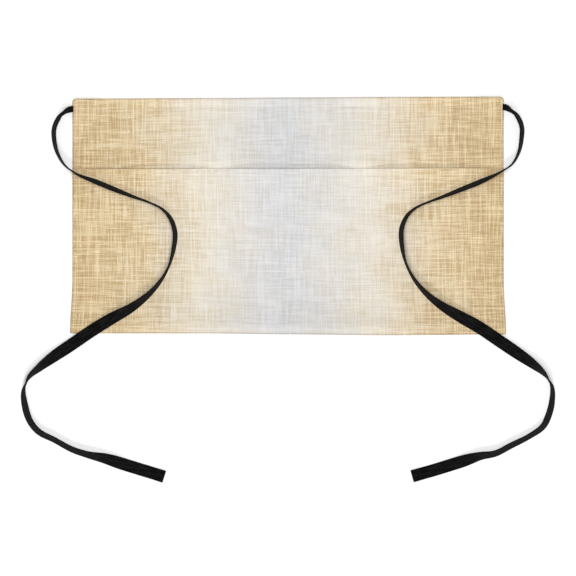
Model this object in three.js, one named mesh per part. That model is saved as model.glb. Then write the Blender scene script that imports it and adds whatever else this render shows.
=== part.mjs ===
// Waist apron, lying face up: a back panel with turned hems, a pocket panel folded up over its
// lower part and sewn into compartments, and two long tape ties.
// Millimetres. +X is to the right, +Y towards the waist edge, +Z up. The origin is the centre of
// the apron's footprint, on the surface that it lies on.

import * as THREE from "three";

// Driving dimensions of the panels
const apronWidth = 560; // side edge to side edge at the waist
const apronHeight = 307; // waist edge to bottom fold
const pocketDepth = 215; // bottom fold to pocket mouth
const clothThickness = 1.0;
const layerGap = 0.3; // air between two layers of cloth
const sideHemWidth = 12;
const waistHemWidth = 15;
const mouthHemWidth = 12;
const hemFall = 10; // width over which the cloth settles beside a hem
const cornerRadius = 5; // rounding of the two waist corners
const cornerBlend = 15; // height over which the rounding fades out
const bottomFlare = 3; // how far each side edge runs out at the bottom
const flareHeight = 70;

// Driving dimensions of the pockets
const compartmentCount = 3;
const pocketBillow = 7; // how far the mouth stands off the back panel between two seams
const billowRamp = 40; // distance from a seam over which the pocket cloth rises
const sideSeamInset = 6; // side edge to the seam that closes the pocket

// Driving dimensions of the ties
const tapeWidth = 16;
const tapeThickness = 1.2;
const tieDrop = 13.5; // waist edge to the middle of the sewn tape
const sewnLength = 26; // tape hidden between the hem and the back panel
const sewnRoom = 8; // half of the height kept clear for the folded tape
const liftSpread = 14; // distance over which the back panel settles beside the tape
const tieHemLength = 11; // turned end of a tie

// Grids of the cloth: across the hems and the folds of the back panel, and across plain cloth
const gridStep = 34;
const plainStep = 60;
const cornerShares = [0, 0.2, 0.55, 1]; // grid lines across a rounded corner

// Drift of the waist edge and the bottom fold from straight lines, as shares of the height.
// Columns: share of the half width from the middle, waist edge, bottom fold.
const edgeDrift = [
  { across: -1.0, waist: -0.0035, fold: 0.0035 },
  { across: -0.4, waist: -0.0015, fold: 0.003 },
  { across: 0.0, waist: 0.001, fold: -0.001 },
  { across: 0.45, waist: 0.0035, fold: -0.005 },
  { across: 1.0, waist: 0.005, fold: -0.001 },
];

// Routes of the ties, from the sewn end to the free end.
// Columns: outwards from the side edge, down from the tie's seam, height of what it lies on,
// roll of the tape about its length (0 and 180 flat, 90 on edge) and lengthwise fold, in degrees.
const leftTieRoute = [
  [-25, 0, 1, 90, 180],
  [-12, 0, 1, 90, 180],
  [2, 0, 1, 90, 180],
  [9.4, 3.8, 0.3, 83, 64],
  [17.4, 11.3, 0, 70, 16],
  [23.7, 24.5, 0, 69.5, 0],
  [23.7, 40.2, 0.6, 71.5, 0],
  [19, 57.8, 2.4, 76.5, 0],
  [8.9, 73.3, 4.4, 84.5, 10],
  [-5.8, 83.8, 5.6, 96, 10],
  [-29.9, 93.9, 8.3, 110, 0],
  [-56.3, 104.7, 9.1, 109.5, 0],
  [-80.7, 114.2, 8.7, 101, 0],
  [-100.2, 121.2, 8.4, 95.5, 0],
  [-117, 129.9, 8.1, 98, 0],
  [-127.7, 142.4, 7.7, 106.5, 0],
  [-133.4, 160.9, 7.1, 109, 0],
  [-131.5, 181.8, 6.5, 105.5, 0],
  [-124.9, 204.7, 5.7, 96.5, 0],
  [-112.9, 225.2, 5, 104, 0],
  [-96.8, 242.5, 4.4, 116, 0],
  [-75.8, 258.2, 3.8, 134.5, 0],
  [-50.6, 272, 3.4, 158.5, 0],
  [-26.2, 286.9, 3.6, 178, 0],
  [-0.5, 304.4, 3.4, 180, 0],
  [25.2, 321.9, 0.6, 152, 0],
  [43.6, 336.1, 0, 125, 0],
  [56.3, 348.6, 0, 104, 16],
  [63.1, 365.2, 0, 73.5, 14],
  [61.6, 385.6, 0, 59.5, 0],
  [55.2, 405, 0, 60, 0],
  [43.8, 418.9, 0, 61.5, 0],
  [23.2, 429.6, 0, 64.5, 0],
  [0.2, 442, 0, 62.5, 0],
  [-21.7, 449.1, 0, 57, 0],
  [-42.2, 453.6, 0, 34, 0],
  [-69.4, 462.1, 0, 3, 0],
  [-94.2, 469.7, 0, 0, 0],
  [-118, 477, 0, 0, 0],
];
const rightTieRoute = [
  [-25, 0, 1, 90, 180],
  [-12, 0, 1, 90, 180],
  [2, 0, 1, 90, 180],
  [8.4, 4.1, 0.3, 83, 64],
  [17.2, 11.3, 0, 70, 16],
  [23.6, 24.8, 0, 69.5, 0],
  [23.4, 40, 0.6, 71, 0],
  [19.8, 58, 2.4, 77.5, 0],
  [10.5, 73.9, 4.4, 85, 10],
  [-4.9, 84.1, 5.6, 95.5, 10],
  [-28.2, 95.7, 8.2, 110, 0],
  [-54.8, 106.5, 9.1, 109, 0],
  [-79.1, 116.1, 8.7, 102, 0],
  [-98.4, 123.3, 8.4, 96, 0],
  [-114.9, 131, 8.2, 98, 0],
  [-125.9, 141.6, 7.8, 104.5, 0],
  [-132.6, 158, 7.2, 108.5, 0],
  [-132.2, 178.8, 6.6, 107, 0],
  [-127.1, 201.9, 5.8, 96.5, 0],
  [-116.3, 223, 5.1, 102, 0],
  [-101.2, 241, 4.6, 112, 0],
  [-80.7, 257.5, 4, 130, 0],
  [-56, 272, 3.5, 155, 0],
  [-31.2, 285.9, 3.7, 178, 0],
  [-5.3, 303.4, 3.6, 180, 0],
  [20.4, 320.9, 1, 159, 0],
  [39.5, 334.5, 0, 134, 0],
  [52.5, 346.4, 0, 108, 14],
  [62.3, 362, 0, 75.5, 14],
  [63.1, 380.7, 0, 64, 0],
  [58.5, 400, 0, 59.5, 0],
  [51, 414.7, 0, 61.5, 0],
  [33.1, 427.4, 0, 65.5, 0],
  [10.2, 439, 0, 62.5, 0],
  [-10.6, 449.5, 0, 60.5, 0],
  [-30.3, 452.9, 0, 49, 0],
  [-58, 461.2, 0, 8, 0],
  [-87.9, 470.5, 0, 0, 0],
  [-117.5, 478.9, 0, 0, 0],
];
const stepsPerSpan = 2; // sections of tape between two points of a route

// Places worked out from the driving dimensions
const halfWidth = apronWidth / 2;
const halfHeight = apronHeight / 2;
const mouthY = -halfHeight + pocketDepth;
const hemRise = clothThickness + layerGap;
const tieY = halfHeight - tieDrop;
const compartmentPitch = apronWidth / compartmentCount;
const foldLip = clothThickness + 2 * layerGap; // bottom fold to the back panel's lower edge
const creaseStep = tapeThickness; // short facets that round the crease of a folded tape
const foldedTape = tapeThickness + 2 * creaseStep * Math.sin(Math.PI / 3);

// A value that rises smoothly from 0 at share 0 to 1 at share 1.
function ease(share) {
  const t = Math.min(Math.max(share, 0), 1);
  return t * t * (3 - 2 * t);
}

// Positions from the first stop to the last, through every stop, no more than a step apart.
function gridLines(stops, step) {
  const sorted = [...new Set(stops)].sort((a, b) => a - b);
  const lines = [sorted[0]];
  for (let i = 1; i < sorted.length; i++) {
    const span = sorted[i] - sorted[i - 1];
    const parts = Math.ceil(span / step);
    for (let k = 1; k <= parts; k++) {
      lines.push(sorted[i - 1] + (span * k) / parts);
    }
  }
  return lines;
}

function mirrored(stops) {
  return [...stops.map((stop) => -stop), ...stops];
}

function driftAt(across, edge) {
  for (let i = 1; i < edgeDrift.length; i++) {
    const a = edgeDrift[i - 1];
    const b = edgeDrift[i];
    if (across <= b.across) {
      const share = ease((across - a.across) / (b.across - a.across));
      return (a[edge] + (b[edge] - a[edge]) * share) * apronHeight;
    }
  }
  return edgeDrift[edgeDrift.length - 1][edge] * apronHeight;
}

// Plan position of a point of the cloth, from its place in a plain rectangle.
function outline(x, y) {
  const across = x / halfWidth;
  const up = (y + halfHeight) / apronHeight;
  const flare = bottomFlare * ease((flareHeight - halfHeight - y) / flareHeight);
  const intoCorner = Math.max(0, Math.abs(x) - (halfWidth - cornerRadius));
  const cornerDrop = cornerRadius - Math.sqrt(Math.max(0, cornerRadius ** 2 - intoCorner ** 2));
  const nearWaist = Math.max(0, (y - (halfHeight - cornerBlend)) / cornerBlend);
  const drift = driftAt(across, "waist") * up + driftAt(across, "fold") * (1 - up);
  return { x: x + across * flare, y: y + drift - cornerDrop * nearWaist };
}

// 1 where the folded tape of a tie is sewn in, falling to 0 around it.
function overTape(x, y) {
  const inwards = halfWidth - sewnLength - liftSpread;
  const alongTape = ease((Math.abs(x) - inwards) / liftSpread);
  const acrossTape = ease((sewnRoom + liftSpread - Math.abs(y - tieY)) / liftSpread);
  return alongTape * acrossTape;
}

// Height of the back panel's underside.
function backUnderside(x, y) {
  const overSideHem = ease((Math.abs(x) - (halfWidth - sideHemWidth - hemFall)) / hemFall);
  const overWaistHem = ease((y - (halfHeight - waistHemWidth - hemFall)) / hemFall);
  const sewn = overTape(x, y);
  return hemRise * Math.max(overSideHem, overWaistHem, sewn) + (foldedTape + layerGap) * sewn;
}

function seamPlaces() {
  const places = [-(halfWidth - sideSeamInset)];
  for (let i = 1; i < compartmentCount; i++) {
    places.push(-halfWidth + i * compartmentPitch);
  }
  places.push(halfWidth - sideSeamInset);
  return places;
}

// How far the pocket cloth stands off the back panel at a point.
function billowAt(x, y) {
  const fromSeam = Math.min(...seamPlaces().map((seam) => Math.abs(x - seam)));
  const inside = Math.abs(x) < halfWidth - sideSeamInset ? 1 : 0;
  const towardsMouth = Math.max(0, (y + halfHeight) / pocketDepth);
  return pocketBillow * inside * ease(fromSeam / billowRamp) * towardsMouth;
}

// Height of the pocket panel's underside.
function pocketUnderside(x, y) {
  const overMouthHem = ease((y - (mouthY - mouthHemWidth - hemFall)) / hemFall);
  return backUnderside(x, y) + hemRise + hemRise * overMouthHem + billowAt(x, y);
}

// A closed solid from rings of points that all have the same number of points. Each ring is a
// strip: its first half runs along one face, its second half along the other, back again.
function loftGeometry(rings, flip) {
  const count = rings[0].length;
  const half = count / 2;
  const faces = [];
  const quad = (a, b, c, d) => faces.push([a, b, c], [a, c, d]);
  for (let r = 0; r + 1 < rings.length; r++) {
    for (let i = 0; i < count; i++) {
      const next = (i + 1) % count;
      const here = r * count;
      const there = here + count;
      quad(here + i, here + next, there + next, there + i);
    }
  }
  const last = (rings.length - 1) * count;
  for (let i = 0; i + 1 < half; i++) {
    const opposite = count - 1 - i;
    quad(i, opposite, opposite - 1, i + 1);
    quad(last + i, last + i + 1, last + opposite - 1, last + opposite);
  }
  const geometry = new THREE.BufferGeometry();
  const points = rings.flat();
  geometry.setAttribute("position", new THREE.Float32BufferAttribute(points.flat(), 3));
  geometry.setIndex(faces.flatMap(([a, b, c]) => (flip ? [a, c, b] : [a, b, c])));
  geometry.computeVertexNormals();
  return geometry;
}

// A layer of cloth over a grid: underside(x, y) and topside(x, y) give its two faces.
function clothGeometry(columns, rows, underside, topside) {
  const rings = columns.map((x) => {
    const low = [];
    const high = [];
    for (const y of rows) {
      const place = outline(x, y);
      low.push([place.x, place.y, underside(x, y)]);
      high.unshift([place.x, place.y, topside(x, y)]);
    }
    return [...low, ...high];
  });
  return loftGeometry(rings, false);
}

// Section of the tape in its own plane: across and up, centred, with its lowest point's height.
function tapeSection(roll, fold) {
  const flatRun = tapeWidth / 2 - creaseStep;
  const headings = [-fold / 2, -fold / 6, fold / 6, fold / 2].map((turn) => roll + turn);
  const lengths = [flatRun, creaseStep, creaseStep, flatRun];
  const centre = [{ across: 0, up: 0 }];
  headings.forEach((heading, i) => {
    const angle = THREE.MathUtils.degToRad(heading);
    const from = centre[i];
    centre.push({
      across: from.across + lengths[i] * Math.cos(angle),
      up: from.up + lengths[i] * Math.sin(angle),
    });
  });
  const mean = (key) => centre.reduce((sum, point) => sum + point[key], 0) / centre.length;
  const middle = { across: mean("across"), up: mean("up") };
  const side = (sign) =>
    centre.map((point, i) => {
      const before = headings[Math.max(0, i - 1)];
      const after = headings[Math.min(headings.length - 1, i)];
      const heading = THREE.MathUtils.degToRad((before + after) / 2);
      const mitre = Math.cos(THREE.MathUtils.degToRad((after - before) / 2));
      const offset = (sign * tapeThickness) / 2 / mitre;
      return {
        across: point.across - middle.across - offset * Math.sin(heading),
        up: point.up - middle.up + offset * Math.cos(heading),
      };
    });
  const points = [...side(-1), ...side(1).reverse()];
  return { points, lowest: Math.min(...points.map((point) => point.up)) };
}

// A tape along a route. hand is -1 for the left tie and 1 for the right one.
function tapeGeometry(route, hand) {
  const seam = outline(hand * halfWidth, tieY);
  const plan = new THREE.CatmullRomCurve3(
    route.map(([out, down]) => new THREE.Vector3(seam.x + hand * out, seam.y - down, 0)),
    false,
    "centripetal",
  );
  const attitude = new THREE.CatmullRomCurve3(
    route.map(([, , rest, roll, fold]) => new THREE.Vector3(rest, roll, fold)),
    false,
    "catmullrom",
    0.5,
  );
  const steps = (route.length - 1) * stepsPerSpan;
  const rings = [];
  for (let i = 0; i <= steps; i++) {
    const place = plan.getPoint(i / steps);
    const along = plan.getTangent(i / steps);
    const { x: rest, y: roll, z: fold } = attitude.getPoint(i / steps);
    const section = tapeSection(roll, THREE.MathUtils.clamp(fold, 0, 180));
    const height = Math.max(0, rest) + layerGap - section.lowest;
    rings.push(
      section.points.map(({ across, up }) => [
        place.x + hand * along.y * across,
        place.y - hand * along.x * across,
        height + up,
      ]),
    );
  }
  return loftGeometry(rings, hand > 0);
}

// The turned end of a tie: a short run of tape that lies flat on the last of the tie.
function tieEndRoute(route) {
  const [lastOut, lastDown] = route[route.length - 1];
  const [beforeOut, beforeDown] = route[route.length - 2];
  const run = Math.hypot(lastOut - beforeOut, lastDown - beforeDown);
  const share = tieHemLength / run;
  const startOut = lastOut + (beforeOut - lastOut) * share;
  const startDown = lastDown + (beforeDown - lastDown) * share;
  const rest = layerGap + tapeThickness;
  return [
    [startOut, startDown, rest, 0, 0],
    [(startOut + lastOut) / 2, (startDown + lastDown) / 2, rest, 0, 0],
    [lastOut, lastDown, rest, 0, 0],
  ];
}

const linen = { color: 0xd9c8a4, roughness: 0.92 };
const tape = { color: 0x161617, roughness: 0.85 };

function piece(name, geometry, finish) {
  const material = new THREE.MeshStandardMaterial({ ...finish, metalness: 0 });
  const mesh = new THREE.Mesh(geometry, material);
  mesh.name = name;
  return mesh;
}

const cornerStops = cornerShares.map((share) => halfWidth - cornerRadius * share);
const sideStops = [...cornerStops, halfWidth - sideHemWidth];
const sideFallStop = halfWidth - sideHemWidth - hemFall;
const flareStop = -halfHeight + flareHeight;

function backPanel() {
  const sewnStops = [halfWidth - sewnLength, halfWidth - sewnLength - liftSpread];
  const columns = gridLines(mirrored([...sideStops, sideFallStop, ...sewnStops]), gridStep);
  const waistStops = [
    halfHeight,
    halfHeight - waistHemWidth,
    halfHeight - waistHemWidth - hemFall,
    tieY + sewnRoom,
    tieY - sewnRoom,
    tieY - sewnRoom - liftSpread / 2,
    tieY - sewnRoom - liftSpread,
  ];
  const rows = gridLines([...waistStops, flareStop, -halfHeight + foldLip], plainStep);
  const top = (x, y) => backUnderside(x, y) + clothThickness;
  return piece("back_panel", clothGeometry(columns, rows, backUnderside, top), linen);
}

// A hem is flat on the surface below, with its outer edge flush with the edge that it turns from.
function hem(name, columns, rows) {
  const geometry = clothGeometry(columns, rows, () => 0, () => clothThickness);
  return piece(name, geometry, linen);
}

function waistHem() {
  const reach = halfWidth - sideHemWidth - layerGap;
  const columns = gridLines(mirrored([reach]), plainStep);
  return hem("waist_hem", columns, [halfHeight - waistHemWidth, halfHeight]);
}

function sideHem(name, hand) {
  const columns = sideStops.map((stop) => hand * stop).sort((a, b) => a - b);
  const stops = [-halfHeight + foldLip, flareStop, halfHeight - cornerBlend, halfHeight];
  const rows = gridLines(stops, plainStep);
  return hem(name, columns, rows);
}

const seamStops = seamPlaces().flatMap((seam) =>
  [-1, -0.5, 0, 0.5, 1].map((share) => seam + share * billowRamp),
);

function pocketColumns(reach) {
  const edgeStops = mirrored([reach, halfWidth - sideHemWidth, sideFallStop]);
  const inside = seamStops.filter((stop) => Math.abs(stop) < reach);
  return gridLines([...edgeStops, ...inside], plainStep);
}

// The pocket panel rises from the bottom fold, where its lip closes over the back panel's edge.
function pocketPanel() {
  const lipInside = -halfHeight + clothThickness;
  const lipTop = lipInside + layerGap / 2;
  const hemStops = [mouthY, mouthY - mouthHemWidth, mouthY - mouthHemWidth - hemFall];
  const rows = gridLines([-halfHeight, lipInside, lipTop, flareStop, ...hemStops], plainStep);
  const underside = (x, y) => (y < lipTop - layerGap / 4 ? 0 : pocketUnderside(x, y));
  const topside = (x, y) => {
    const roundedFold = y < lipInside - layerGap ? hemRise / 2 : 0;
    return pocketUnderside(x, y) + clothThickness - roundedFold;
  };
  const geometry = clothGeometry(pocketColumns(halfWidth), rows, underside, topside);
  return piece("pocket_panel", geometry, linen);
}

// The mouth hem hangs under the pocket panel's free edge.
function pocketHem() {
  const rows = [mouthY - mouthHemWidth, mouthY];
  const top = (x, y) => pocketUnderside(x, y) - layerGap;
  const underside = (x, y) => top(x, y) - clothThickness;
  const columns = pocketColumns(halfWidth - sideSeamInset);
  return piece("pocket_hem", clothGeometry(columns, rows, underside, top), linen);
}

function tie(name, route, hand) {
  return piece(name, tapeGeometry(route, hand), tape);
}

const apron = new THREE.Group();
apron.name = "waist_apron";
apron.add(
  backPanel(),
  waistHem(),
  sideHem("side_hem_left", -1),
  sideHem("side_hem_right", 1),
  pocketPanel(),
  pocketHem(),
  tie("tie_left", leftTieRoute, -1),
  tie("tie_right", rightTieRoute, 1),
  tie("tie_end_left", tieEndRoute(leftTieRoute), -1),
  tie("tie_end_right", tieEndRoute(rightTieRoute), 1),
);

export default apron;
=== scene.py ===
"""Looks of the waist apron: printed linen cloth, tape ties and stitching, on a plain pale floor.

Metres, in the frame of the CAD model: +X to the right, +Y towards the waist edge, +Z up.
"""

import math

import bpy
import numpy as np
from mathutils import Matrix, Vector


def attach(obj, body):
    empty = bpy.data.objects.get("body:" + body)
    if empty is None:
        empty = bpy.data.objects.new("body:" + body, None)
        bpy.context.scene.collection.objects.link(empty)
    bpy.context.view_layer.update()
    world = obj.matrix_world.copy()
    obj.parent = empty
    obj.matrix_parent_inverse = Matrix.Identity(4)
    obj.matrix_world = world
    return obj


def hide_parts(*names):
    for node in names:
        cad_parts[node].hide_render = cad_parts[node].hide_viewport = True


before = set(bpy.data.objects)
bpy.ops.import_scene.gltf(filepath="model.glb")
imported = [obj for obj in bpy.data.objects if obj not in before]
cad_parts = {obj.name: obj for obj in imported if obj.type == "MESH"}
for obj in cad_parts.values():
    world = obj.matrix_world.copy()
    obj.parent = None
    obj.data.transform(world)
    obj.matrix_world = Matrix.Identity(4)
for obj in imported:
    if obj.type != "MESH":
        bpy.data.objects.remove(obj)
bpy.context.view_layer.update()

# Driving dimensions, as in the CAD model
HALF_WIDTH = 0.280
HALF_HEIGHT = 0.1535
POCKET_DEPTH = 0.215
CLOTH = 0.001
GAP = 0.0003
SIDE_HEM = 0.012
WAIST_HEM = 0.015
MOUTH_HEM = 0.012
HEM_FALL = 0.010
CORNER_RADIUS = 0.005
CORNER_BLEND = 0.015
BOTTOM_FLARE = 0.003
FLARE_HEIGHT = 0.070
COMPARTMENTS = 3
BILLOW = 0.007
BILLOW_RAMP = 0.040
SEAM_INSET = 0.006
TAPE_WIDTH = 0.016
TAPE = 0.0012
TIE_DROP = 0.0135
SEWN_LENGTH = 0.026
SEWN_ROOM = 0.008
LIFT_SPREAD = 0.014
TIE_HEM = 0.011

HEIGHT = 2 * HALF_HEIGHT
MOUTH_Y = -HALF_HEIGHT + POCKET_DEPTH
RISE = CLOTH + GAP
TIE_Y = HALF_HEIGHT - TIE_DROP
PITCH = 2 * HALF_WIDTH / COMPARTMENTS
FOLD_LIP = CLOTH + 2 * GAP
FOLDED_TAPE = TAPE * (1 + 2 * math.sin(math.pi / 3))
FOLD_RADIUS = RISE / 2
SEAMS = [-HALF_WIDTH + SEAM_INSET]
SEAMS += [-HALF_WIDTH + i * PITCH for i in range(1, COMPARTMENTS)]
SEAMS += [HALF_WIDTH - SEAM_INSET]

# Drift of the waist edge and the bottom fold: share of the half width, waist, fold
DRIFT = np.array([
    (-1.0, -0.0035, 0.0035),
    (-0.4, -0.0015, 0.003),
    (0.0, 0.001, -0.001),
    (0.45, 0.0035, -0.005),
    (1.0, 0.005, -0.001),
])

# Routes of the ties in metres: outwards, down, height of what it lies on, roll and fold in degrees
LEFT_ROUTE = [
    (-0.025, 0, 0.001, 90, 180), (-0.012, 0, 0.001, 90, 180), (0.002, 0, 0.001, 90, 180),
    (0.0094, 0.0038, 0.0003, 83, 64), (0.0174, 0.0113, 0, 70, 16), (0.0237, 0.0245, 0, 69.5, 0),
    (0.0237, 0.0402, 0.0006, 71.5, 0), (0.019, 0.0578, 0.0024, 76.5, 0),
    (0.0089, 0.0733, 0.0044, 84.5, 10), (-0.0058, 0.0838, 0.0056, 96, 10),
    (-0.0299, 0.0939, 0.0083, 110, 0), (-0.0563, 0.1047, 0.0091, 109.5, 0),
    (-0.0807, 0.1142, 0.0087, 101, 0), (-0.1002, 0.1212, 0.0084, 95.5, 0),
    (-0.117, 0.1299, 0.0081, 98, 0), (-0.1277, 0.1424, 0.0077, 106.5, 0),
    (-0.1334, 0.1609, 0.0071, 109, 0), (-0.1315, 0.1818, 0.0065, 105.5, 0),
    (-0.1249, 0.2047, 0.0057, 96.5, 0), (-0.1129, 0.2252, 0.005, 104, 0),
    (-0.0968, 0.2425, 0.0044, 116, 0), (-0.0758, 0.2582, 0.0038, 134.5, 0),
    (-0.0506, 0.272, 0.0034, 158.5, 0), (-0.0262, 0.2869, 0.0036, 178, 0),
    (-0.0005, 0.3044, 0.0034, 180, 0), (0.0252, 0.3219, 0.0006, 152, 0),
    (0.0436, 0.3361, 0, 125, 0), (0.0563, 0.3486, 0, 104, 16), (0.0631, 0.3652, 0, 73.5, 14),
    (0.0616, 0.3856, 0, 59.5, 0), (0.0552, 0.405, 0, 60, 0), (0.0438, 0.4189, 0, 61.5, 0),
    (0.0232, 0.4296, 0, 64.5, 0), (0.0002, 0.442, 0, 62.5, 0), (-0.0217, 0.4491, 0, 57, 0),
    (-0.0422, 0.4536, 0, 34, 0), (-0.0694, 0.4621, 0, 3, 0), (-0.0942, 0.4697, 0, 0, 0),
    (-0.118, 0.477, 0, 0, 0),
]
RIGHT_ROUTE = [
    (-0.025, 0, 0.001, 90, 180), (-0.012, 0, 0.001, 90, 180), (0.002, 0, 0.001, 90, 180),
    (0.0084, 0.0041, 0.0003, 83, 64), (0.0172, 0.0113, 0, 70, 16), (0.0236, 0.0248, 0, 69.5, 0),
    (0.0234, 0.04, 0.0006, 71, 0), (0.0198, 0.058, 0.0024, 77.5, 0),
    (0.0105, 0.0739, 0.0044, 85, 10), (-0.0049, 0.0841, 0.0056, 95.5, 10),
    (-0.0282, 0.0957, 0.0082, 110, 0), (-0.0548, 0.1065, 0.0091, 109, 0),
    (-0.0791, 0.1161, 0.0087, 102, 0), (-0.0984, 0.1233, 0.0084, 96, 0),
    (-0.1149, 0.131, 0.0082, 98, 0), (-0.1259, 0.1416, 0.0078, 104.5, 0),
    (-0.1326, 0.158, 0.0072, 108.5, 0), (-0.1322, 0.1788, 0.0066, 107, 0),
    (-0.1271, 0.2019, 0.0058, 96.5, 0), (-0.1163, 0.223, 0.0051, 102, 0),
    (-0.1012, 0.241, 0.0046, 112, 0), (-0.0807, 0.2575, 0.004, 130, 0),
    (-0.056, 0.272, 0.0035, 155, 0), (-0.0312, 0.2859, 0.0037, 178, 0),
    (-0.0053, 0.3034, 0.0036, 180, 0), (0.0204, 0.3209, 0.001, 159, 0), (0.0395, 0.3345, 0, 134, 0),
    (0.0525, 0.3464, 0, 108, 14), (0.0623, 0.362, 0, 75.5, 14), (0.0631, 0.3807, 0, 64, 0),
    (0.0585, 0.4, 0, 59.5, 0), (0.051, 0.4147, 0, 61.5, 0), (0.0331, 0.4274, 0, 65.5, 0),
    (0.0102, 0.439, 0, 62.5, 0), (-0.0106, 0.4495, 0, 60.5, 0), (-0.0303, 0.4529, 0, 49, 0),
    (-0.058, 0.4612, 0, 8, 0), (-0.0879, 0.4705, 0, 0, 0), (-0.1175, 0.4789, 0, 0, 0),
]

# Camera: straight down, with a long lens. The frame is 576 by 576.
FRAME_WIDTH = 0.7488
FRAME_CENTRE = (0.0, -0.0936)
LENS = 600
SENSOR = 36

camera_data = bpy.data.cameras.new("camera")
camera_data.lens = LENS
camera_data.sensor_width = SENSOR
camera_data.clip_end = 50
camera = bpy.data.objects.new("camera", camera_data)
camera.location = (*FRAME_CENTRE, FRAME_WIDTH * LENS / SENSOR)
bpy.context.collection.objects.link(camera)
bpy.context.scene.camera = camera


def ease(share):
    t = np.clip(share, 0, 1)
    return t * t * (3 - 2 * t)


def srgb(*levels):
    """Linear colour of an sRGB colour given in levels from 0 to 255."""
    shares = [level / 255 for level in levels]
    linear = [s / 12.92 if s <= 0.04045 else ((s + 0.055) / 1.055) ** 2.4 for s in shares]
    return (*linear, 1.0)


# The cloth's shape, as in the CAD model


def drift_at(across, column):
    drift = np.full_like(across, DRIFT[-1, column])
    for a, b in reversed(list(zip(DRIFT, DRIFT[1:]))):
        share = ease((across - a[0]) / (b[0] - a[0]))
        drift = np.where(across <= b[0], a[column] + (b[column] - a[column]) * share, drift)
    return drift * HEIGHT


def outline(x, y):
    across = x / HALF_WIDTH
    up = (y + HALF_HEIGHT) / HEIGHT
    flare = BOTTOM_FLARE * ease((FLARE_HEIGHT - HALF_HEIGHT - y) / FLARE_HEIGHT)
    into = np.clip(np.abs(x) - (HALF_WIDTH - CORNER_RADIUS), 0, CORNER_RADIUS)
    drop = CORNER_RADIUS - np.sqrt(np.maximum(0, CORNER_RADIUS**2 - into**2))
    near = np.maximum(0, (y - (HALF_HEIGHT - CORNER_BLEND)) / CORNER_BLEND)
    drift = drift_at(across, 1) * up + drift_at(across, 2) * (1 - up)
    return x + across * flare, y + drift - drop * near


def over_tape(x, y):
    inwards = HALF_WIDTH - SEWN_LENGTH - LIFT_SPREAD
    along = ease((np.abs(x) - inwards) / LIFT_SPREAD)
    return along * ease((SEWN_ROOM + LIFT_SPREAD - np.abs(y - TIE_Y)) / LIFT_SPREAD)


WRINKLE = 0.00028  # the most that the slack cloth stands off what it lies on
# Its waves: how fast along x and along y, phase, share
WAVES = [(31, 12, 0.4, 0.5), (-17, 38, 2.1, 0.3), (57, 23, 4.0, 0.2)]


def wrinkle(x, y):
    """Slack in the cloth, from 0 to WRINKLE."""
    total = sum(share * (1 + np.sin(x * a + y * b + c)) / 2 for a, b, c, share in WAVES)
    return WRINKLE * total


def back_underside(x, y):
    side = ease((np.abs(x) - (HALF_WIDTH - SIDE_HEM - HEM_FALL)) / HEM_FALL)
    waist = ease((y - (HALF_HEIGHT - WAIST_HEM - HEM_FALL)) / HEM_FALL)
    sewn = over_tape(x, y)
    rise = RISE * np.maximum(np.maximum(side, waist), sewn)
    return rise + (FOLDED_TAPE + GAP) * sewn + wrinkle(x, y)


def billow_at(x, y):
    from_seam = np.min([np.abs(x - seam) for seam in SEAMS], axis=0)
    inside = np.abs(x) < HALF_WIDTH - SEAM_INSET
    towards_mouth = np.maximum(0, (y + HALF_HEIGHT) / POCKET_DEPTH)
    return BILLOW * inside * ease(from_seam / BILLOW_RAMP) * towards_mouth


def pocket_underside(x, y):
    mouth = ease((y - (MOUTH_Y - MOUTH_HEM - HEM_FALL)) / HEM_FALL)
    return back_underside(x, y) + RISE + RISE * mouth + billow_at(x, y)


# Meshes


NEAR_REACH = 0.003
NEAR_STEPS = (0, 0.0004, 0.001, 0.002)


def lines(start, end, step, near=()):
    """Positions from start to end, close together near the places that are given."""
    count = max(1, math.ceil(abs(end - start) / step))
    found = list(np.linspace(start, end, count + 1))
    low, high = min(start, end), max(start, end)
    for place in near:
        found = [p for p in found if abs(p - place) > NEAR_REACH or p in (start, end)]
        around = [place + side * off for side in (-1, 1) for off in NEAR_STEPS]
        found += [p for p in around if low < p < high]
    return np.array(sorted(set(found), reverse=end < start))


def add_mesh(name, points, faces, slots, uvs=None, materials=()):
    mesh = bpy.data.meshes.new(name)
    mesh.from_pydata([tuple(p) for p in points], [], faces)
    for material in materials:
        mesh.materials.append(material)
    mesh.polygons.foreach_set("material_index", slots)
    if uvs is not None:
        layer = mesh.uv_layers.new(name="cloth")
        index = np.zeros(len(mesh.loops), int)
        mesh.loops.foreach_get("vertex_index", index)
        layer.data.foreach_set("uv", np.asarray(uvs, float)[index].ravel())
    mesh.polygons.foreach_set("use_smooth", [True] * len(mesh.polygons))
    mesh.validate()
    piece = bpy.data.objects.new(name, mesh)
    bpy.context.collection.objects.link(piece)
    return piece


def grid_normals(centre):
    along, across = np.gradient(centre, axis=0), np.gradient(centre, axis=1)
    normal = np.cross(along, across)
    return normal / np.maximum(np.linalg.norm(normal, axis=2, keepdims=True), 1e-12)


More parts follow.
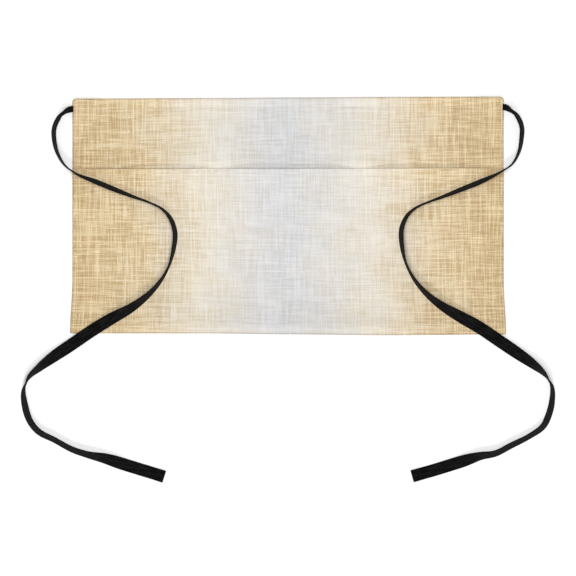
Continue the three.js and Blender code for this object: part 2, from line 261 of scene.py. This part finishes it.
def sheet_piece(name, centre, flat, thickness, kept, materials):
    """A closed sheet round a grid of centre points, in the cells that are kept. The first
    material is on the side that the grid's normals face, the second on the other."""
    rows, columns = centre.shape[:2]
    normal = grid_normals(centre)
    half = thickness[..., None] / 2
    points = np.concatenate([
        (centre + normal * half).reshape(-1, 3), (centre - normal * half).reshape(-1, 3)])
    uvs = np.concatenate([flat.reshape(-1, 2)] * 2)
    under = rows * columns
    faces, slots = [], []

    def there(i, j):
        return 0 <= i < rows - 1 and 0 <= j < columns - 1 and kept[i, j]

    for i in range(rows - 1):
        for j in range(columns - 1):
            if not kept[i, j]:
                continue
            a, b = i * columns + j, (i + 1) * columns + j
            c, d = b + 1, a + 1
            faces += [(a, b, c, d), (a + under, d + under, c + under, b + under)]
            slots += [0, 1]
            sides = [((i, j - 1), a, b), ((i + 1, j), b, c), ((i, j + 1), c, d), ((i - 1, j), d, a)]
            for cell, p, q in sides:
                if not there(*cell):
                    faces.append((q, p, p + under, q + under))
                    slots.append(0)
    used = sorted({v for face in faces for v in face})
    place = {v: k for k, v in enumerate(used)}
    faces = [tuple(place[v] for v in face) for face in faces]
    return add_mesh(name, points[used], faces, slots, uvs[used], materials)


# Ties


def catmull_rom(points, steps, centripetal):
    """Points of a Catmull-Rom curve and its direction, with so many steps a span."""
    pts = np.asarray(points, float)
    pts = np.concatenate([[2 * pts[0] - pts[1]], pts, [2 * pts[-1] - pts[-2]]])
    places, directions = [], []
    for k in range(1, len(pts) - 2):
        p0, p1, p2, p3 = pts[k - 1 : k + 3]
        if centripetal:
            spans = ((p0, p1), (p1, p2), (p2, p3))
            d0, d1, d2 = (math.sqrt(np.linalg.norm(b - a)) for a, b in spans)
            t1 = ((p1 - p0) / d0 - (p2 - p0) / (d0 + d1) + (p2 - p1) / d1) * d1
            t2 = ((p2 - p1) / d1 - (p3 - p1) / (d1 + d2) + (p3 - p2) / d2) * d1
        else:
            t1, t2 = (p2 - p0) / 2, (p3 - p1) / 2
        last = k == len(pts) - 3
        for w in np.linspace(0, 1, steps + 1)[: None if last else -1]:
            c2, c3 = 3 * (p2 - p1) - 2 * t1 - t2, 2 * (p1 - p2) + t1 + t2
            places.append(p1 + t1 * w + c2 * w * w + c3 * w**3)
            directions.append(t1 + 2 * c2 * w + 3 * c3 * w * w)
    return np.array(places), np.array(directions)


CREASE = 0.0027  # width of tape that bends round where it is folded lengthwise
# Places across the tape, closer together at its edges and at its middle
SECTION = np.array([-8, -7.8, -7.3, -6.4, -5.2, -4, -2.8, -1.8, -1, -0.5, 0]) / 8
SECTION = np.concatenate([SECTION, -SECTION[-2::-1]]) * TAPE_WIDTH / 2
CENTRED_ON = [0, 8, 10, 12, 20]  # the points that the CAD model's tape is centred on
EDGE_SHARE = 0.7  # of the tape's thickness, at its two edges
EDGE = np.ones(len(SECTION))
EDGE[[0, -1]] = EDGE_SHARE


def tape_section(roll, fold):
    """Outline of the tape across its route, centred, and the height of its lowest point."""
    middle = (SECTION[1:] + SECTION[:-1]) / 2
    heading = np.radians(roll + fold * np.clip(middle / CREASE, -0.5, 0.5))
    step = np.diff(SECTION)
    centre = np.concatenate([[[0, 0]], np.cumsum(
        np.column_stack([step * np.cos(heading), step * np.sin(heading)]), axis=0)])
    centre -= centre[CENTRED_ON].mean(axis=0)
    turn = np.radians(roll + fold * np.clip(SECTION / CREASE, -0.5, 0.5))
    normal = np.column_stack([-np.sin(turn), np.cos(turn)]) * (TAPE / 2 * EDGE)[:, None]
    ring = np.concatenate([centre - normal, (centre + normal)[::-1]])
    return ring, ring[:, 1].min()


def loft(name, rings, uvs, material):
    """A closed tube of rings whose points run out along one face and back along the other."""
    rings = np.asarray(rings)
    count, size = rings.shape[:2]
    index = np.arange(count * size).reshape(count, size)
    faces = []
    for r in range(count - 1):
        for i in range(size):
            j = (i + 1) % size
            faces.append((index[r, i], index[r, j], index[r + 1, j], index[r + 1, i]))
    for i in range(size // 2 - 1):
        o = size - 1 - i
        faces.append((index[0, i], index[0, o], index[0, o - 1], index[0, i + 1]))
        faces.append((index[-1, i], index[-1, i + 1], index[-1, o - 1], index[-1, o]))
    faces = [tuple(int(v) for v in face) for face in faces]
    piece = add_mesh(name, rings.reshape(-1, 3), faces, [0] * len(faces), uvs, [material])
    face_outwards(piece.data)
    return piece


def face_outwards(mesh):
    mesh.calc_loop_triangles()
    co = np.array([v.co for v in mesh.vertices])
    a, b, c = (co[[t.vertices[k] for t in mesh.loop_triangles]] for k in range(3))
    if (a * np.cross(b, c)).sum() < 0:
        mesh.flip_normals()


def tape_rings(route, hand, steps=8):
    seam_x, seam_y = outline(np.array([hand * HALF_WIDTH]), np.array([TIE_Y]))
    plan = [(seam_x[0] + hand * out, seam_y[0] - down, 0) for out, down, *_ in route]
    places, directions = catmull_rom(plan, steps, True)
    attitudes, _ = catmull_rom([row[2:] for row in route], steps, False)
    rings, centres = [], []
    for place, along, (rest, roll, fold) in zip(places, directions, attitudes):
        section, lowest = tape_section(roll, min(max(fold, 0), 180))
        height = max(0, rest) + GAP - lowest
        along = along / np.linalg.norm(along)
        sideways = np.array([hand * along[1], -hand * along[0], 0])
        base = np.array([place[0], place[1], height])
        rings.append([base + sideways * a + np.array([0, 0, up]) for a, up in section])
        centres.append(base)
    return rings, centres


def tape_uvs(centres):
    run = np.concatenate([[0], np.cumsum(np.linalg.norm(np.diff(centres, axis=0), axis=1))])
    across = np.concatenate([SECTION, SECTION[::-1]])
    return [(along, a) for along in run for a in across], run[-1]


# Materials

BRIGHT = 1.47  # light on a level surface: a colour of the photo is divided by it
BUMP_DISTANCE = 0.0004
SHEEN_ROUGHNESS = 0.6


class Graph:
    """A material's nodes, added one at a time with their inputs."""

    def __init__(self, name):
        self.material = bpy.data.materials.new(name)
        self.material.use_nodes = True
        self.tree = self.material.node_tree
        self.tree.nodes.clear()

    def add(self, kind, inputs=None, **settings):
        node = self.tree.nodes.new("ShaderNode" + kind)
        for key, value in settings.items():
            setattr(node, key, value)
        for key, value in (inputs or {}).items():
            if isinstance(value, bpy.types.NodeSocket):
                self.tree.links.new(value, node.inputs[key])
            else:
                node.inputs[key].default_value = value
        return node

    def math(self, operation, *values):
        return self.add("Math", dict(enumerate(values)), operation=operation).outputs[0]

    def noise(self, vector, scale, location=(0, 0, 0), detail=2.0):
        placed = self.add("Mapping", {"Vector": vector, "Scale": scale, "Location": location})
        node = self.add("TexNoise", {"Vector": placed.outputs[0], "Scale": 1.0, "Detail": detail},
                        noise_dimensions="2D")
        return node.outputs["Fac"]

    def spread(self, value, low, high, to_low=0.0, to_high=1.0, kind="SMOOTHSTEP"):
        node = self.add("MapRange", {
            "Value": value, "From Min": low, "From Max": high, "To Min": to_low,
            "To Max": to_high}, interpolation_type=kind)
        return node.outputs[0]

    def mix(self, share, first, second, blend="MIX"):
        node = self.add("Mix", {0: share, 6: first, 7: second}, data_type="RGBA", blend_type=blend)
        return node.outputs[2]

    def ramp(self, position, stops):
        node = self.add("ValToRGB", {"Fac": position})
        elements = node.color_ramp.elements
        while len(elements) < len(stops):
            elements.new(0.5)
        for element, (place, colour) in zip(elements, stops):
            element.position = place
            element.color = colour
        return node.outputs["Color"]

    def finish(self, colour, height, roughness, bump, sheen, specular):
        bumped = self.add("Bump", {"Height": height, "Strength": bump, "Distance": BUMP_DISTANCE})
        shader = self.add("BsdfPrincipled", {
            "Base Color": colour, "Roughness": roughness, "Normal": bumped.outputs[0],
            "Sheen Weight": sheen, "Sheen Roughness": SHEEN_ROUGHNESS,
            "Specular IOR Level": specular})
        output = self.add("OutputMaterial", {"Surface": shader.outputs[0]})
        output.is_active_output = True
        return self.material


def lit(*levels):
    """Colour of a surface that shows these sRGB levels in the light of this scene."""
    return (*[channel / BRIGHT for channel in srgb(*levels)[:3]], 1.0)


# Colours of the print across the apron: share of the width, ground levels, thread levels
PRINT = [
    (0.00, (207, 179, 136), (241, 219, 174)), (0.16, (218, 195, 156), (245, 228, 193)),
    (0.31, (232, 224, 208), (249, 245, 235)), (0.42, (220, 217, 214), (241, 240, 239)),
    (0.50, (213, 214, 216), (238, 239, 241)), (0.58, (221, 218, 214), (243, 241, 238)),
    (0.69, (231, 223, 209), (248, 243, 232)), (0.83, (220, 197, 160), (245, 229, 195)),
    (1.00, (206, 178, 135), (241, 219, 174)),
]
# Painted light and shade over the cloth's height, from the bottom fold to the waist edge, lightest
# at the pocket's mouth: share of the height, share of light
PAINTED_LIGHT_AND_SHADE = [
    (0.00, 0.90), (0.02, 0.94), (0.05, 0.85), (0.10, 0.88), (0.25, 0.93), (0.60, 0.96),
    (0.69, 0.98), (0.705, 1.0), (0.72, 0.97), (0.74, 0.93), (0.95, 0.93), (0.975, 1.0), (1.0, 0.96),
]
# Printed threads: how many a metre across them and along them, and their share
THREADS = [(440, 16, 0.34), (720, 30, 0.37), (1000, 54, 0.29)]
LONG_THREADS = [(9, 480, 1), (480, 9, 1)]
KNOTS = (330, 420, 1)
BLOTCHES = (30, 30, 1)
# Ranges of a noise or a sum, and the shares that they give
THREAD_SHOWS = (0.40, 0.64)
PALE_FROM = (1.03, 1.38)
DARK_BELOW = (0.91, 0.36)
LONG_SHOWS = (0.62, 0.74, 0.0, 0.55)
KNOT_SHOWS = (0.85, 0.90, 0, 0.7)
BLOTCH_SHOWS = (0.48, 0.75, 0, 0.30)
PALE_SHARE = 0.95
CONTRAST = (0.08, 0.22, 0.42, 1.0)  # calmer in the middle of the apron than at its sides
FADE_CLOUD = (22, 22, 1)
FADE_SWAY = 0.06  # how far the fade wanders sideways
DARK_GROUND = srgb(230, 221, 202)
# Colour of the painted shade along the cloth's edges, where the folds curve away from the light
EDGE_SHADE_COLOUR = srgb(238, 232, 224)
KNOT = (246, 241, 228)
# Where the painted edge shade begins and where it is full, at the sides and at the upper and lower
# edges
SIDE_SHADE_SPAN = (HALF_WIDTH - 0.002, HALF_WIDTH - 0.0006)
EDGE_SHADE_SPAN = (0.003, 0.001)  # distance from an upper or lower edge
NO_EDGE = 1.0  # a height that the cloth doesn't reach
WEAVE_PERIOD = 0.0009
TAPE_PERIOD = 0.0008
WAVE_PERIOD = 2 * math.pi / 20  # of Blender's wave texture at scale 1
WOBBLE = (260, 260, 1)


def weave(graph, uv, period):
    """Height of a plain weave with uneven threads."""
    wobble = graph.noise(uv, WOBBLE, detail=1.0)
    waves = [
        graph.add("TexWave", {"Vector": uv, "Scale": WAVE_PERIOD / period, "Distortion": 0.6,
                              "Detail": 1.0, "Detail Scale": 0.6}, bands_direction=axis)
        for axis in "XY"]
    both = graph.math("ADD", *[wave.outputs["Fac"] for wave in waves])
    return graph.math("MULTIPLY_ADD", wobble, 0.8, both)


def linen(name, shift, low, top):
    """Cloth printed with crossing uneven threads, tan at the sides and pale grey in the middle.
    low and top are the heights of its lower and upper edges."""
    graph = Graph(name)
    uv = graph.add("UVMap", uv_map="cloth").outputs[0]
    flat = graph.add("SeparateXYZ", {"Vector": uv}).outputs
    cloud = graph.noise(uv, FADE_CLOUD, (shift, 3.1, 0))
    centred = graph.math("SUBTRACT", cloud, 0.5)
    moved = graph.math("MULTIPLY_ADD", centred, FADE_SWAY, flat["X"])
    place = graph.spread(moved, -HALF_WIDTH, HALF_WIDTH, kind="LINEAR")
    ground = graph.ramp(place, [(share, lit(*levels)) for share, levels, _ in PRINT])
    pale = graph.ramp(place, [(share, lit(*levels)) for share, _, levels in PRINT])
    up = graph.spread(flat["Y"], -HALF_HEIGHT, HALF_HEIGHT, kind="LINEAR")
    painted_light_and_shade = graph.ramp(up, [(share, (light, light, light, 1)) for share, light in PAINTED_LIGHT_AND_SHADE])
    contrast = graph.spread(graph.math("ABSOLUTE", moved), *CONTRAST)

    total = 0.0
    for k, (fine, along, share) in enumerate(THREADS):
        for lean, scale in enumerate(((along, fine, 1), (fine, along, 1))):
            found = graph.noise(uv, scale, (shift + 3 * k, 5.3 * lean + k, 0), 1.0)
            total = graph.math("ADD", total, graph.spread(found, *THREAD_SHOWS, 0.0, share))
    threads = graph.spread(total, *PALE_FROM)
    shown = graph.math("MULTIPLY", threads, graph.math("MULTIPLY", contrast, PALE_SHARE))
    colour = graph.mix(shown, ground, pale)
    deep = graph.math("MULTIPLY", graph.spread(total, *DARK_BELOW), contrast)
    colour = graph.mix(deep, colour, graph.mix(1.0, colour, DARK_GROUND, "MULTIPLY"))
    knot = graph.noise(uv, KNOTS, (shift, 9.4, 0), 0.0)
    colour = graph.mix(graph.spread(knot, *KNOT_SHOWS), colour, lit(*KNOT))
    for lean, scale in enumerate(LONG_THREADS):
        found = graph.noise(uv, scale, (shift + 1.7, 11.3 * lean, 0), 0.0)
        long_thread = graph.spread(found, *LONG_SHOWS)
        colour = graph.mix(graph.math("MULTIPLY", long_thread, contrast), colour, pale)
    blotch = graph.noise(uv, BLOTCHES, (shift, 7.7, 0), 3.0)
    colour = graph.mix(graph.spread(blotch, *BLOTCH_SHOWS), colour, pale)
    # Painted light and shade over the height of the cloth
    colour = graph.mix(1.0, colour, painted_light_and_shade, "MULTIPLY")

    # Painted shade: darker along the sides and the upper and lower edges, where the folds curve
    # away from the light
    beside = graph.spread(graph.math("ABSOLUTE", flat["X"]), *SIDE_SHADE_SPAN)
    under = graph.spread(flat["Y"], *[low + reach for reach in EDGE_SHADE_SPAN])
    above = graph.spread(flat["Y"], *[top - reach for reach in EDGE_SHADE_SPAN])
    edge = graph.math("MAXIMUM", beside, graph.math("MAXIMUM", under, above))
    colour = graph.mix(edge, colour, graph.mix(1.0, colour, EDGE_SHADE_COLOUR, "MULTIPLY"))

    height = graph.math("MULTIPLY_ADD", threads, 0.8, weave(graph, uv, WEAVE_PERIOD))
    rough = graph.spread(threads, 0, 1, 0.93, 0.84)
    return graph.finish(colour, height, rough, 0.2, 0.1, 0.25)


PALER_THREAD = (244, 241, 233)
DARKER_BY = 9  # levels


def plain_cloth(name, levels):
    """Unprinted side of the cloth."""
    graph = Graph(name)
    uv = graph.add("UVMap", uv_map="cloth").outputs[0]
    height = weave(graph, uv, WEAVE_PERIOD)
    cloud = graph.noise(uv, BLOTCHES, detail=3.0)
    tone = graph.spread(cloud, 0.3, 0.7, kind="LINEAR")
    darker = lit(*[level - DARKER_BY for level in levels])
    threads = graph.spread(height, 0.4, 2.2, 0.0, 0.5, "LINEAR")
    colour = graph.mix(threads, graph.mix(tone, darker, lit(*levels)), lit(*PALER_THREAD))
    return graph.finish(colour, height, graph.spread(cloud, 0.3, 0.7, 0.95, 0.86), 0.3, 0.1, 0.25)


BORDER = (0.0072, 0.0055)  # from the tape's middle: where its darker border is full and ends
TAPE_WEAR = (60, 160, 1)
TAPE_RIBS = (70, 560, 1)
RIB_COLOURS = ((1, 1, 1), (21, 21, 22))
RIB_THREAD = (18, 18, 19)


def tape_cloth(name):
    """Black woven tape: a paler middle, darker borders and fine ribs."""
    graph = Graph(name)
    uv = graph.add("UVMap", uv_map="cloth").outputs[0]
    across = graph.add("SeparateXYZ", {"Vector": uv}).outputs["Y"]
    height = weave(graph, uv, TAPE_PERIOD)
    middle = graph.spread(graph.math("ABSOLUTE", across), *BORDER)
    worn = graph.noise(uv, TAPE_WEAR, detail=3.0)
    ribs = graph.spread(graph.noise(uv, TAPE_RIBS, (4.1, 2.3, 0), 1.0), 0.40, 0.62)
    tone = graph.math("MULTIPLY", graph.spread(middle, 0, 1, 0.45, 1.0), ribs)
    dark, pale = (lit(*levels) for levels in RIB_COLOURS)
    threads = graph.spread(height, 1.0, 2.4, 0.0, 0.5)
    colour = graph.mix(threads, graph.mix(tone, dark, pale), lit(*RIB_THREAD))
    return graph.finish(colour, height, graph.spread(worn, 0.3, 0.7, 0.95, 0.8), 0.4, 0.02, 0.05)


PLY_SCALE = 420.0
PLY_SHADE = 0.86


def thread(name, levels, sheen, gloss):
    """Sewing thread with its twist."""
    graph = Graph(name)
    place = graph.add("TexCoord").outputs["Object"]
    ply = graph.add("TexWave", {"Vector": place, "Scale": PLY_SCALE, "Distortion": 1.0},
                    bands_direction="DIAGONAL").outputs["Fac"]
    colour = graph.mix(ply, lit(*[level * PLY_SHADE for level in levels]), lit(*levels))
    return graph.finish(colour, ply, 0.7, 0.3, sheen, gloss)


FRONT = linen("printed linen, back panel", 0.0, -NO_EDGE, HALF_HEIGHT)
POCKET_FRONT = linen("printed linen, pocket", 3.17, -HALF_HEIGHT, NO_EDGE)
REVERSE = plain_cloth("linen reverse", (226, 221, 209))
TAPE_CLOTH = tape_cloth("black tape")
PALE_THREAD = thread("pale thread", (238, 228, 206), 0.1, 0.3)
DARK_THREAD = thread("black thread", (4, 4, 5), 0.0, 0.02)


# Pieces

INSET = CLOTH / 2 + FOLD_RADIUS  # from an outer edge to where its fold begins
TURNS = np.linspace(0, math.pi, 9)
GRID = 0.003
# Lines of stitches
WAIST_LINE = HALF_HEIGHT - 0.0132
SIDE_LINE = HALF_WIDTH - 0.0098
MOUTH_LINE = MOUTH_Y - 0.0105
# A seam's groove, and the puckers beside it: depth, reach to either side
GROOVE = (0.00022, 0.001)
PUCKER = (0.00013, 0.006)
PUCKER_WAVES = (780, 331)
SLIT = 0.005  # half of the slit in the side fold that the tie leaves through
TOP_NOTCH = 0.0025  # how much shorter the side hem is than the edge that it lies behind


def groove(distance):
    depth, reach = GROOVE
    return depth * np.exp(-((distance / reach) ** 2))


def pucker(along, distance, phase):
    depth, reach = PUCKER
    fast, slow = PUCKER_WAVES
    waves = np.sin(along * fast + phase) * np.sin(along * slow + 2 * phase)
    return depth * waves * np.exp(-((distance / reach) ** 2))


def drawn_in(x, y, rows, columns):
    """How far seams along x (rows) and along y (columns) draw the cloth down."""
    total = np.zeros_like(x)
    for k, place in enumerate(rows):
        total += groove(y - place) + pucker(x, y - place, k + 1)
    for k, place in enumerate(columns):
        total += groove(x - place) + pucker(y, x - place, k + 4)
    return total


def turned(edge, hem):
    """Places across a hemmed edge: coordinate, share of the turn, distance along the cloth."""
    start = edge - INSET
    fold = [(start + FOLD_RADIUS * math.sin(a), (1 - math.cos(a)) / 2, start + FOLD_RADIUS * a)
            for a in TURNS[1:]]
    runs = np.linspace(0, hem - INSET, math.ceil(hem / GRID) + 1)[1:]
    return fold + [(start - run, 1.0, start + FOLD_RADIUS * math.pi + run) for run in runs]


def back_cloth():
    side = turned(HALF_WIDTH, SIDE_HEM)
    xs = lines(-HALF_WIDTH + INSET, HALF_WIDTH - INSET, GRID, [-SIDE_LINE, SIDE_LINE])
    columns = [(-p, t, -u) for p, t, u in reversed(side)] + [(x, 0.0, x) for x in xs] + side
    bottom = -HALF_HEIGHT + FOLD_LIP
    around = [TIE_Y - SLIT, TIE_Y + SLIT, HALF_HEIGHT - TOP_NOTCH]
    ys = lines(bottom, HALF_HEIGHT - INSET, GRID, [WAIST_LINE, *around])
    rows = [(y, 0.0, y) for y in ys] + turned(HALF_HEIGHT, WAIST_HEM)
    (xp, xt, xu), (yp, yt, yu) = np.array(columns).T, np.array(rows).T
    x, y = np.meshgrid(xp, yp, indexing="ij")
    turn = np.maximum(*np.meshgrid(xt, yt, indexing="ij"))
    top = back_underside(x, y) + CLOTH / 2
    top -= drawn_in(x, y, [WAIST_LINE], [-SIDE_LINE, SIDE_LINE])
    z = top + (CLOTH / 2 - top) * turn
    centre = np.stack([*outline(x, y), z], axis=2)
    flat = np.stack(np.meshgrid(xu, yu, indexing="ij"), axis=2)

    x_turn, y_turn = np.maximum(xt[1:], xt[:-1]), np.maximum(yt[1:], yt[:-1])
    x_bend = (x_turn > 0) & (np.minimum(xt[1:], xt[:-1]) < 1)
    y_flap = np.minimum(yt[1:], yt[:-1]) >= 1
    x_mid, y_mid = (xp[1:] + xp[:-1]) / 2, (yp[1:] + yp[:-1]) / 2
    kept = ~((x_turn > 0)[:, None] & (y_turn > 0)[None])
    kept &= ~(x_bend[:, None] & (np.abs(y_mid - TIE_Y) < SLIT)[None])
    kept &= ~((np.abs(x_mid) > HALF_WIDTH - SIDE_HEM - GAP)[:, None] & y_flap[None])
    x_flap = np.minimum(xt[1:], xt[:-1]) >= 1
    kept &= ~(x_flap[:, None] & (y_mid > HALF_HEIGHT - TOP_NOTCH)[None])
    thickness = np.full(x.shape, CLOTH)
    return sheet_piece("back_cloth", centre, flat, thickness, kept, [FRONT, REVERSE])


LIP_RADIUS = 0.0008
# Cloth pinched at the pocket's sewn sides: distance in from the edge, share of the thickness
PINCH = [(0.0002, 0.3), (0.0006, 0.85)]


def pocket_cloth():
    xs = lines(-HALF_WIDTH, HALF_WIDTH, GRID, SEAMS)
    edges = [HALF_WIDTH - inwards for inwards, _ in PINCH]
    xs = np.array(sorted({*xs, *edges, *[-e for e in edges]}))
    low = -HALF_HEIGHT + CLOTH / 2 + LIP_RADIUS
    rows = [(low - LIP_RADIUS * math.sin(a), (1 - math.cos(a)) / 2, low - LIP_RADIUS * a, 0)
            for a in TURNS[:0:-1]]
    rows += [(y, 0, y, 0) for y in lines(low, MOUTH_Y - INSET, GRID, [MOUTH_LINE])]
    rows += [(y, 0, u, t) for y, t, u in turned(MOUTH_Y, MOUTH_HEM)]
    yp, lip, yu, mouth = np.array(rows, float).T
    x, y = np.meshgrid(xs, yp, indexing="ij")
    top = pocket_underside(x, y) + CLOTH / 2
    top -= drawn_in(x, y, [MOUTH_LINE], SEAMS)
    z = top + (CLOTH / 2 - top) * lip - RISE * mouth
    centre = np.stack([*outline(x, y), z], axis=2)
    flat = np.stack(np.meshgrid(xs, yu, indexing="ij"), axis=2)
    thickness = np.full(x.shape, CLOTH)
    for k, (_, share) in enumerate(PINCH):
        thickness[[k, -1 - k]] *= share
    kept = np.ones((len(xs) - 1, len(yp) - 1), bool)
    return sheet_piece("pocket_cloth", centre, flat, thickness, kept, [POCKET_FRONT, REVERSE])


STITCH = 0.0024
STITCH_PITCH = 0.0031
THREAD = 0.00022  # half of the thread's thickness
# Arch of a stitch: share of its length, lift and size in half thicknesses
ARCH = [(0.0, -0.9, 0.5), (0.15, 0.1, 1.0), (0.5, 0.5, 1.0), (0.85, 0.1, 1.0), (1.0, -0.9, 0.5)]


def stitch_piece(name, runs, material):
    """Stitches along runs of points on a surface, as short arched threads, in one mesh."""
    sides = np.linspace(0, 2 * math.pi, 7)[:-1]
    points, faces = [], []
    for start, end in runs:
        start, end = np.asarray(start, float), np.asarray(end, float)
        along = (end - start) / np.linalg.norm(end - start)
        side = np.cross(along, (0, 0, 1))
        side /= np.linalg.norm(side)
        up = np.cross(side, along)
        base = len(points)
        for share, lift, size in ARCH:
            middle = start + (end - start) * share + up * THREAD * lift
            for a in sides:
                points.append(middle + THREAD * size * (side * math.cos(a) + up * math.sin(a)))
        count = len(sides)
        for r in range(len(ARCH) - 1):
            for i in range(count):
                j = (i + 1) % count
                at, on = base + r * count, base + (r + 1) * count
                faces.append((at + i, on + i, on + j, at + j))
        faces.append(tuple(base + i for i in range(count)))
        last = base + (len(ARCH) - 1) * count
        faces.append(tuple(last + i for i in reversed(range(count))))
    piece = add_mesh(name, points, faces, [0] * len(faces), None, [material])
    face_outwards(piece.data)
    return piece


def runs_between(start, end, surface, pitch=STITCH_PITCH):
    """Stitches from start to end, places in the plain rectangle, on top of a surface."""
    start, end = np.array(start, float), np.array(end, float)
    whole = np.linalg.norm(end - start)
    count = max(1, int(whole / pitch))
    found = []
    for k in range(count):
        middle, half = (k + 0.5) / count, STITCH / 2 / whole
        places = np.array([start + (end - start) * s for s in (middle - half, middle + half)])
        px, py = outline(places[:, 0], places[:, 1])
        pz = surface(places[:, 0], places[:, 1])
        found.append(list(np.stack([px, py, pz], axis=1)))
    return found


def back_top(x, y):
    return back_underside(x, y) + CLOTH - drawn_in(x, y, [WAIST_LINE], [-SIDE_LINE, SIDE_LINE])


def pocket_top(x, y):
    return pocket_underside(x, y) + CLOTH - drawn_in(x, y, [MOUTH_LINE], SEAMS)


TACK_WIDTH = 0.007
TACK_DROP = 0.0028  # from the pocket's mouth to the middle of a tack
TACK_LEAN = (0.0004, 0.0012)  # half of one of its stitches, along x and along y
TACK_STITCHES = 7
# How far from an edge a line of stitches stops
WAIST_STOP = 0.004
SIDE_STOP = 0.003


def tack(x, y, surface):
    """A bar tack: close stitches side by side."""
    lean = np.array(TACK_LEAN)
    found = []
    for k in range(TACK_STITCHES):
        place = (x - TACK_WIDTH / 2 + TACK_WIDTH * (k + 0.5) / TACK_STITCHES, y)
        found += runs_between(place - lean, place + lean, surface, math.inf)
    return found


back = back_cloth()
pocket = pocket_cloth()

waist_end = HALF_WIDTH - WAIST_STOP
hem_runs = runs_between((-waist_end, WAIST_LINE), (waist_end, WAIST_LINE), back_top)
for line in (-SIDE_LINE, SIDE_LINE):
    hem_runs += runs_between((line, MOUTH_Y + SIDE_STOP), (line, HALF_HEIGHT - SIDE_STOP), back_top)
back_stitches = stitch_piece("back_stitches", hem_runs, PALE_THREAD)

mouth_end = HALF_WIDTH - SIDE_STOP
pocket_runs = runs_between((-mouth_end, MOUTH_LINE), (mouth_end, MOUTH_LINE), pocket_top)
for seam in SEAMS:
    seam_ends = (seam, -HALF_HEIGHT + WAIST_STOP), (seam, MOUTH_Y - SIDE_STOP)
    pocket_runs += runs_between(*seam_ends, pocket_top)
    pocket_runs += tack(seam, MOUTH_Y - TACK_DROP, pocket_top)
pocket_stitches = stitch_piece("pocket_stitches", pocket_runs, PALE_THREAD)


END_STITCHES = 6
END_SPAN = 0.0068  # from the tape's middle to its outermost stitch
END_LINE = TIE_HEM - 0.0025
END_STITCH = 0.001  # half of one stitch


def turned_end(name, route, hand):
    """The end of a tape, turned up over itself, and its stitches."""
    _, centres = tape_rings(route, hand, 4)
    end, before = np.array(centres[-1]), np.array(centres[-2])
    outward = (end - before) * (1, 1, 0)
    outward /= np.linalg.norm(outward)
    sideways = np.array([hand * outward[1], -hand * outward[0], 0])
    up = np.array([0, 0, 1])
    radius = (TAPE + GAP) / 2
    path = [(radius * math.sin(a), radius * (1 - math.cos(a)), a) for a in TURNS]
    path += [(-run, 2 * radius, math.pi) for run in np.linspace(0, TIE_HEM, 7)[1:]]
    rings, centres = [], []
    for out, lift, angle in path:
        base = end + outward * out + up * lift
        normal = outward * math.sin(angle) - up * math.cos(angle)
        low = [base + sideways * a + normal * TAPE / 2 * e for a, e in zip(SECTION, EDGE)]
        high = [base + sideways * a - normal * TAPE / 2 * e for a, e in zip(SECTION, EDGE)]
        rings.append(low + high[::-1])
        centres.append(base)
    uvs, _ = tape_uvs(np.array(centres))
    piece = loft(name, rings, uvs, TAPE_CLOTH)
    top = end + up * (2 * radius + TAPE / 2)
    line = top - outward * END_LINE
    runs = [(line + sideways * (a - END_STITCH), line + sideways * (a + END_STITCH))
            for a in np.linspace(-END_SPAN, END_SPAN, END_STITCHES)]
    return piece, runs


for side, route, hand in (("left", LEFT_ROUTE, -1), ("right", RIGHT_ROUTE, 1)):
    rings, centres = tape_rings(route, hand)
    uvs, length = tape_uvs(np.array(centres))
    tie = loft(f"tie_{side}_tape", rings, uvs, TAPE_CLOTH)
    turned_piece, runs = turned_end(f"tie_{side}_turned_end", route, hand)
    stitches = stitch_piece(f"tie_{side}_stitches", runs, DARK_THREAD)
    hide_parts(f"tie_{side}")
    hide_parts(f"tie_end_{side}")
    for piece in (tie, turned_piece, stitches):
        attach(piece, "root")

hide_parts("back_panel", "waist_hem", "side_hem_left", "side_hem_right")
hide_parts("pocket_panel", "pocket_hem")
for piece in (back, pocket, back_stitches, pocket_stitches):
    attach(piece, "root")

# Floor and light

FLOOR_HALF = 8
FLOOR_Z = -0.0002
FLOOR_TONES = (0.70, 0.71)
AIM = (0, -0.05, 0)
WORLD_LIGHT = 0.48

floor_graph = Graph("pale floor")
spot = floor_graph.add("TexCoord").outputs["Object"]
grain = floor_graph.noise(spot, (40, 40, 1), detail=2.0)
floor_colour = floor_graph.mix(grain, *[(tone, tone, tone, 1) for tone in FLOOR_TONES])
floor_material = floor_graph.finish(floor_colour, grain, 0.9, 0.02, 0.0, 0.1)
floor_corners = [(FLOOR_HALF * x, FLOOR_HALF * y, FLOOR_Z)
                 for x, y in ((-1, -1), (1, -1), (1, 1), (-1, 1))]
floor = add_mesh("floor", floor_corners, [(0, 1, 2, 3)], [0], None, [floor_material])


def area_light(name, place, size, watts):
    data = bpy.data.lights.new(name, "AREA")
    data.shape = "SQUARE"
    data.size = size
    data.energy = watts
    light = bpy.data.objects.new(name, data)
    light.location = place
    aim = Vector(AIM) - Vector(place)
    light.rotation_euler = aim.to_track_quat("-Z", "Y").to_euler()
    bpy.context.collection.objects.link(light)


area_light("soft key", (0.0, 0.0, 2.6), 1.0, 65)
area_light("low lamp", (-0.15, -1.4, 2.0), 0.3, 15)
world = bpy.data.worlds.new("studio")
world.use_nodes = True
world.node_tree.nodes["Background"].inputs["Color"].default_value = (1, 1, 1, 1)
world.node_tree.nodes["Background"].inputs["Strength"].default_value = WORLD_LIGHT
bpy.context.scene.world = world
bpy.context.scene.view_settings.view_transform = "Standard"
